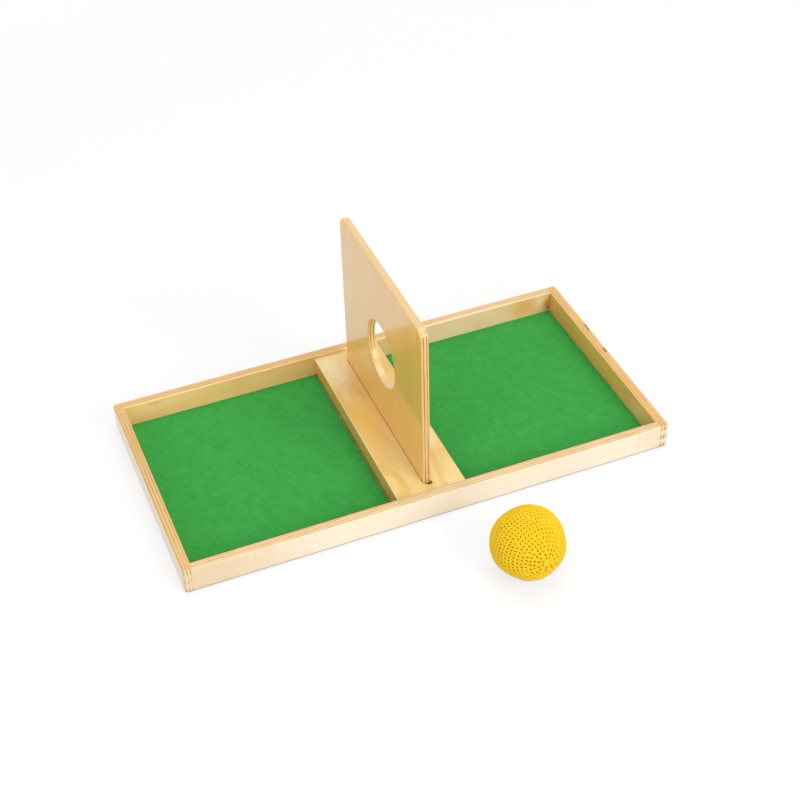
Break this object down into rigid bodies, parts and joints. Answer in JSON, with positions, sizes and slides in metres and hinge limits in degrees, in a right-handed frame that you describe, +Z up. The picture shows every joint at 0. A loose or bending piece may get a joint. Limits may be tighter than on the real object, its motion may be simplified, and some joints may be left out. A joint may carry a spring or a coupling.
{
  "type": "ball posting tray",
  "caption": "Finger-jointed plywood tray with felt-lined compartments, a slotted cross bar, a lift-out upright board with a round hole, and a soft crocheted ball to push through it.",
  "frame": {"origin": "centre of the tray's underside, on the surface that it stands on", "axes": "+X along the tray's length, +Y across it towards the back, +Z up; the board stands across the middle and the ball lies in front at -Y"},
  "size_m": [0.51, 0.392, 0.21],
  "materials": {
    "birch_plywood": "clear satin lacquer over birch plywood with its plies showing on the edges",
    "base_plywood": "sealed thin plywood",
    "pale_hardwood": "clear satin lacquer over pale solid hardwood",
    "green_felt": "pressed felt, matt, short fibres",
    "yellow_yarn": "crocheted cotton yarn in rounds of single stitches",
    "fibre_filling": "loose fibre wad"
  },
  "bodies": {
    "tray": {"front_wall": "birch_plywood", "back_wall": "birch_plywood", "left_wall": "birch_plywood", "right_wall": "birch_plywood", "base_panel": "base_plywood", "left_felt": "green_felt", "right_felt": "green_felt", "slotted_bar": "pale_hardwood"},
    "board": {"upright_board": "birch_plywood"},
    "ball": {"ball_cover": "yellow_yarn", "ball_filling": "fibre_filling"}
  },
  "joints": [
    {"name": "board_lift", "type": "slide", "parent": "tray", "child": "board", "axis": [0, 0, 1], "range_m": [0, 0.06]},
    {"name": "ball_roll", "type": "slide", "parent": "tray", "child": "ball", "axis": [1, 0, 0], "range_m": [-0.2, 0.15]}
  ]
}
